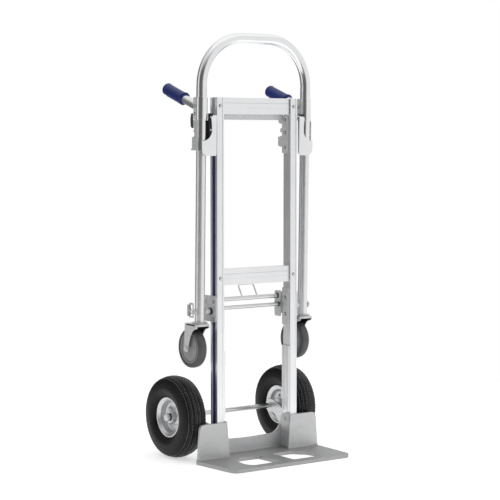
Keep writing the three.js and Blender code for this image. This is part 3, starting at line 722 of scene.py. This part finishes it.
def build_clamp(name, side):
    """Ring round the front of the tube, with flat cheeks behind it and two bolts through them."""
    half, bore = CLAMP_HALF, TUBE_R + 0.3
    front = half_circle(half, math.pi) + list(reversed(half_circle(bore, math.pi)))
    ring = moved(plate([front], "z", CLAMP_LOW, CLAMP_HIGH, 0.5), TUBE_X, PIVOT_Y, 0)
    add_piece(f"grip_clamp_front_{name}", ring, "handle", POLISHED, side, lean=True,
              replaces=[f"grip_clamp_{name}"], angle=25)
    back = rounded([(half, 0.2, 0), (half, half, 4), (-half, half, 4), (-half, 0.2, 0)], 0, 5)
    rear = back + list(reversed(half_circle(bore, 0)))
    cheeks = moved(plate([rear], "z", CLAMP_LOW, CLAMP_HIGH, 0.5), TUBE_X, PIVOT_Y, 0)
    add_piece(f"grip_clamp_cheeks_{name}", cheeks, "handle", PALE, side, lean=True, angle=25)
    y = PIVOT_Y + 9
    for z in (1060, 1084):
        add_rivet(f"clamp_outer_{z}_{name}", TUBE_X + half, y, z, 4.6, "handle", side, FORWARD, True)
        add_rivet(f"clamp_inner_{z}_{name}", TUBE_X - half, y, z, 4.6, "handle", side, TURN_BACK, True)


def build_handle(name, side):
    top = LOOP_FOOT - 0.3
    leg = lathe([(LEG_R - 2, LEG_FOOT), (LEG_R - 0.4, LEG_FOOT), (LEG_R, LEG_FOOT + 0.4),
                 (LEG_R, LOOP_FOOT - 0.7), (LEG_R - 0.4, top), (LEG_R - 2, top)], 48)
    leg = moved(leg, TUBE_X, PIVOT_Y, 0, Matrix.Rotation(-math.pi / 2, 4, "Y"))
    add_piece(f"handle_leg_tube_{name}", leg, "handle", SATIN_TUBE, side, lean=True,
              replaces=[f"handle_leg_{name}"])

    build_clamp(name, side)
    build_grip(name, side)
    build_hook(name, side)


def on_grip_axis(bm):
    """From along +X to along the grip's axis, which rises to the rear."""
    turn = Matrix.Rotation(GRIP_RISE, 4, "X") @ Matrix.Rotation(math.pi / 2, 4, "Z")
    return moved(bm, TUBE_X, PIVOT_Y, GRIP_Z, turn)


def build_grip(name, side):
    """Tube and rubber sleeve, with a collar at the front, finger bumps below and a rounded end."""
    stub = on_grip_axis(lathe([(0, 20.8), (14, 20.8), (14, 192), (0, 192)], 36, closed=False))
    add_piece(f"grip_stub_tube_{name}", stub, "handle", POLISHED, side, lean=True,
              replaces=[f"grip_stub_{name}"])
    bm = bmesh.new()
    rings = []
    steps, sides = 84, 40
    for i in range(steps + 1):
        s = GRIP_FROM + GRIP_LENGTH * i / steps
        r = GRIP_R
        if s < 103:
            r = 20.4 if s < 100.5 else 20.4 - 2.0 * (s - 100.5) / 2.5
        if s > 190:
            r = GRIP_R + 1.2 * math.sin((s - 190) / 13 * math.pi / 2)
        if s > 192:
            r = 19.4 * math.sqrt(max(1 - ((s - 192) / 11.3) ** 2, 0.0))
        ring = []
        for k in range(sides):
            angle = 2 * math.pi * k / sides
            bump = 0.0
            if 104 < s < 184:
                wave = 0.5 - 0.5 * math.cos(2 * math.pi * (s - 104) / 20)
                bump = 2.4 * wave * max(-math.sin(angle), 0) ** 1.5
            ring.append(bm.verts.new((s, (r + bump) * math.cos(angle), (r + bump) * math.sin(angle))))
        rings.append(ring)
    for a, b in zip(rings, rings[1:]):
        bridge(bm, a, b)
    inner = []
    for k in range(sides):
        angle = 2 * math.pi * k / sides
        inner.append(bm.verts.new((GRIP_FROM, 14.3 * math.cos(angle), 14.3 * math.sin(angle))))
    for k in range(sides):
        bm.faces.new((rings[0][k], inner[k], inner[(k + 1) % sides], rings[0][(k + 1) % sides]))
    bm.faces.new(rings[-1])
    add_piece(f"grip_sleeve_{name}", on_grip_axis(bm), "handle", GRIP, side, lean=True,
              replaces=[f"grip_{name}"], angle=50)


def hook_outline():
    """Hook seen from the front: a post on the inside, and a cradle that opens upward and outward."""
    inner, post, tip, seat, cradle = 158.0, 175.0, 211.0, 979.0, 33.0
    outside = rounded([(post, 1055, 6), (inner, 1055, 4), (inner, 934, 5), (tip, 934, 32),
                       (tip, seat, 1.5)], 0, 8)
    arc = []
    for k in range(17):
        angle = math.pi * 1.5 - math.pi / 2 * k / 16
        x = post + cradle + cradle * math.cos(angle)
        arc.append(Vector((x, seat + cradle + cradle * math.sin(angle))))
    return outside + arc


def build_hook(name, side):
    """Hook plate, guide pad, catch and tilt latch of one side."""
    hook = plate([hook_outline()], "y", 4.4, 8.2, 0.6)
    add_piece(f"hook_plate_blade_{name}", hook, "handle", SATIN, side, lean=True,
              replaces=[f"hook_plate_{name}"])
    pad_shape = rounded([(8.8, 982), (26, 982), (26, 1041), (8.8, 1041)], 4)
    pad = plate([pad_shape], "x", 169, TUBE_X - TUBE_R - 0.3, 0.8)
    head = plate([rounded([(8.8, 1036), (26, 1036), (26, 1062), (8.8, 1062)], 4)], "x", 169, 176.5, 0.8)
    add_piece(f"guide_pad_block_{name}", merged([pad, head]), "handle", BLACK, side, lean=True,
              replaces=[f"guide_pad_{name}"])
    screws = [moved(dome_head(3.2, 1.6), 176.5, 9.0, z, TURN_FRONT) for z in (988, 1012, 1050)]
    add_piece(f"guide_pad_screws_{name}", merged(screws), "handle", PALE, side, lean=True)
    x0, x1 = TUBE_X + TUBE_R + 0.6, TUBE_X + TUBE_R + 3.6
    catch = plate([rounded([(20, 950), (56, 950, 1), (56, 953, 1), (50, 957, 1), (50, 990, 4), (38, 992, 2),
                            (38, 1004, 2), (45, 1008, 3), (38, 1013, 0), (40, 1016, 2), (44, 1016.4, 0),
                            (44, 1041, 0), (20, 1041)], 5)], "x", x0, x1, 0.5)
    add_piece(f"catch_blade_{name}", catch, "handle", ZINC, side, lean=True, replaces=[f"catch_plate_{name}"])
    lobe = plate([rounded([(44.2, 1016.6, 0), (57, 1018, 7), (60, 1048, 8), (54, 1063, 4), (48.4, 1060, 2),
                           (48.4, 1041, 0), (44.2, 1041, 0)], 0)], "x", x0, x1, 0.5)
    add_piece(f"catch_lobe_{name}", lobe, "handle", DARK_STEEL, side, lean=True)
    y = PIVOT_Y
    latch = plate([
        rounded([(y - 9, 451), (y + 9, 451, 0), (y + 9, 441), (y + 30, 441), (y + 30, 487), (y + 9, 487),
                 (y + 9, 469, 0), (y - 9, 469)], 3),
        rounded([(y + 13, 447), (y + 25, 447), (y + 25, 481), (y + 13, 481)], 2),
        circle(y, PIVOT_Z, 5.5),
    ], "x", 213.7, 216.2, 0.4)
    lip_shape = rounded([(213.7, 446), (224, 446), (224, 482), (213.7, 482)], 2)
    lip = plate([lip_shape], "y", y + 27.5, y + 30, 0.4)
    add_piece(f"tilt_latch_plate_{name}", merged([latch, lip]), f"tilt_latch_{name}", ZINC, side, lean=True,
              replaces=[f"tilt_latch_{name}"])
    wire = tube(bent([(217.4, y + 26, 478), (217.4, y + 12, 460), (217.4, y + 26, 448)], 2), 1.0, 8)
    add_piece(f"tilt_latch_spring_{name}", wire, f"tilt_latch_{name}", DARK_STEEL, side, lean=True)


# ---- casters ----
def build_caster(name, side):
    """Raceway, fork with black sheets inside it as painted shade, bolt, tread and hub."""
    body = f"swivel_{name}"
    upper = soften([(0, 440), (12.3, 440), (12.3, 429.7), (22.6, 429.7, 1), (24, 428.8, 0.6), (24, 428, 0.4),
                    (19, 427.6), (19, 426.2), (24, 425.9, 0.4), (24, 424.6, 0.4), (0, 424.6)], 0, 2)
    disc = moved(lathe(upper, 48, closed=False), TUBE_X, PIVOT_Y, 0, Matrix.Rotation(-math.pi / 2, 4, "Y"))
    add_piece(f"caster_raceway_{name}", disc, "handle", ZINC, side, lean=True,
              replaces=[f"caster_mount_{name}"])

    y, z, x = CASTER_Y, CASTER_Z, TUBE_X
    roof = plate([rounded([(x - 24, 8), (x + 24, 8), (x + 24, 76), (x - 24, 76)], 12)], "z", 417, 424, 1.4)
    shape = rounded([(10, 423, 0), (10, 411, 2), (32, 405, 12), (48, 380, 12), (y - 9, z + 2, 6),
                     (y - 9, z - 11, 8), (y + 11, z - 11, 9), (y + 11, z + 14, 6), (75, 405, 6),
                     (75, 423, 0)], 4, 6)
    legs = []
    for low, high in ((x - 24, x - 21), (x + 21, x + 24)):
        legs.append(plate([shape, circle(y, z, 5.3)], "x", low, high, 0.6))
    # black sheets on the inner faces of the legs and under the roof: painted shade inside the fork
    shade_sheet_shape = rounded([(13, 416.8, 0), (13, 412, 2), (33, 407, 12), (50, 380, 12), (y - 6, z + 22, 6),
                     (y + 8, z + 22, 4), (72, 405, 6), (72, 416.8, 0)], 0, 6)
    inner_faces = ((x - 20.9, x - 20.1), (x + 20.1, x + 20.9))
    shade_sheets = [plate([shade_sheet_shape], "x", low, high, 0.2) for low, high in inner_faces]
    ceiling = rounded([(x - 20, 12), (x + 20, 12), (x + 20, 72), (x - 20, 72)], 6)
    shade_sheets.append(plate([ceiling], "z", 415.4, 416.8, 0.3))
    add_piece(f"caster_fork_painted_shade_{name}", merged(shade_sheets), body, BLACK, side, lean=True)
    add_piece(f"caster_fork_plates_{name}", merged([roof] + legs), body, ZINC, side, lean=True,
              replaces=[f"caster_fork_{name}"])
    shank = lathe([(0, -25), (5, -25), (5, 25), (0, 25)], 24, closed=False)
    parts = [moved(shank, x, y, z), moved(hex_head(7.6, 4.6), x + 24.2, y, z),
             moved(hex_head(7.6, 4.6), x - 24.2, y, z, TURN_BACK)]
    add_piece(f"caster_bolt_{name}", merged(parts), body, ZINC, side, lean=True,
              replaces=[f"caster_axle_{name}"])

    wheel = f"caster_wheel_{name}"
    tread = soften([(48.2, -12), (51, -15.3, 1.5), (54, -15.3, 2), (59.6, -11.5, 4), (61, -4, 3), (61, 4, 3),
                    (59.6, 11.5, 4), (54, 15.3, 2), (51, 15.3, 1.5), (48.2, 12)], 1, 4)
    add_piece(f"caster_tread_{name}", moved(lathe(tread, 72), x, y, z), wheel, CASTER_TYRE, side, lean=True,
              replaces=[f"caster_tyre_{name}"])
    face = [(5.3, 19.3), (10.5, 19.3, 1), (12, 13, 2), (39, 12, 0.5), (39.6, 9.6, 0.5), (42, 9.6, 0.5),
            (42.6, 12, 0.5), (45, 13.4, 0.8), (47, 13.4, 0.6), (48, 11.6, 0.4)]
    back = [(p[0], -p[1], *p[2:]) for p in reversed(face)]
    hub = moved(lathe(soften(face + back, 0, 2), 72), x, y, z)
    add_piece(f"caster_disc_{name}", hub, wheel, CASTER_HUB, side, lean=True,
              replaces=[f"caster_hub_{name}"])


# ---- studio ----
def add_softbox(name, place, target, size, watts):
    light = bpy.data.lights.new(name, "AREA")
    light.shape = "SQUARE"
    light.size = size
    light.energy = watts
    holder = bpy.data.objects.new(name, light)
    bpy.context.collection.objects.link(holder)
    holder.location = place
    holder.rotation_euler = (Vector(target) - Vector(place)).to_track_quat("-Z", "Y").to_euler()


def build_studio():
    camera = bpy.data.objects.new("camera", bpy.data.cameras.new("camera"))
    bpy.context.collection.objects.link(camera)
    camera.location = (-3.0615, -4.1645, 0.9834)
    camera.rotation_euler = (math.radians(86.203), 0, math.radians(-36.315))
    camera.data.lens = 120.1
    camera.data.sensor_width = 36.0
    bpy.context.scene.camera = camera

    mesh = bpy.data.meshes.new("floor")
    size = FLOOR_HALF
    corners = [(-size, -size, 0), (size, -size, 0), (size, size, 0), (-size, size, 0)]
    mesh.from_pydata(corners, [], [(0, 1, 2, 3)])
    floor = bpy.data.objects.new("floor", mesh)
    bpy.context.collection.objects.link(floor)
    paper = new_material("floor_paper", (0.82, 0.82, 0.82), 0.0, 0.9)
    shader_of(paper).inputs["Emission Color"].default_value = (1, 1, 1, 1)
    shader_of(paper).inputs["Emission Strength"].default_value = 0.55
    mesh.materials.append(paper)

    add_softbox("overhead", (0.4, -0.2, 3.4), (0, 0, 0.4), 3.2, 8)


def build_world():
    """Plain white where the camera sees it, with a darker surround in reflections.

    The surround is white, with a dark band behind the camera, between -Y and -X, and another at the
    rear left, between -X and +Y.
    """
    world = bpy.data.worlds.new("studio")
    bpy.context.scene.world = world
    world.use_nodes = True
    nodes, links = world.node_tree.nodes, world.node_tree.links
    background = nodes["Background"]
    place = nodes.new("ShaderNodeTexCoord")
    split = nodes.new("ShaderNodeSeparateXYZ")
    turn = nodes.new("ShaderNodeMath")
    turn.operation = "ARCTAN2"
    share = nodes.new("ShaderNodeMapRange")
    share.inputs["From Min"].default_value = -math.pi
    share.inputs["From Max"].default_value = math.pi
    ramp = nodes.new("ShaderNodeValToRGB")
    stops = ((0.0, 0.88), (0.025, 0.5), (0.06, 0.14), (0.21, 0.10), (0.25, 0.3), (0.275, 0.9), (0.335, 0.9),
             (0.355, 0.2), (0.50, 0.14), (0.55, 0.9), (0.98, 0.88))
    while len(ramp.color_ramp.elements) < len(stops):
        ramp.color_ramp.elements.new(0.5)
    for element, (position, level) in zip(ramp.color_ramp.elements, stops):
        element.position = position
        element.color = (level, level, level, 1)
    above = nodes.new("ShaderNodeMapRange")
    above.inputs["From Min"].default_value = 0.4
    above.inputs["From Max"].default_value = 0.8
    roof = nodes.new("ShaderNodeMix")
    roof.data_type = "RGBA"
    roof.inputs["B"].default_value = (0.8, 0.8, 0.8, 1)
    seen = nodes.new("ShaderNodeLightPath")
    final = nodes.new("ShaderNodeMix")
    final.data_type = "RGBA"
    final.inputs["B"].default_value = (1, 1, 1, 1)
    links.new(place.outputs["Generated"], split.inputs["Vector"])
    links.new(split.outputs["X"], turn.inputs[0])
    links.new(split.outputs["Y"], turn.inputs[1])
    links.new(turn.outputs["Value"], share.inputs["Value"])
    links.new(share.outputs["Result"], ramp.inputs["Fac"])
    links.new(split.outputs["Z"], above.inputs["Value"])
    links.new(above.outputs["Result"], roof.inputs["Factor"])
    links.new(ramp.outputs["Color"], roof.inputs["A"])
    links.new(seen.outputs["Is Camera Ray"], final.inputs["Factor"])
    links.new(roof.outputs["Result"], final.inputs["A"])
    links.new(final.outputs["Result"], background.inputs["Color"])
    background.inputs["Strength"].default_value = 1.0
    bpy.context.scene.view_settings.view_transform = "Standard"


build_frame()
build_release()
build_loop()
for side_name, side_sign in SIDES:
    build_tyre(side_name, side_sign)
    build_rim(side_name, side_sign)
    build_carriage(side_name, side_sign)
    build_handle(side_name, side_sign)
    build_caster(side_name, side_sign)
build_studio()
build_world()
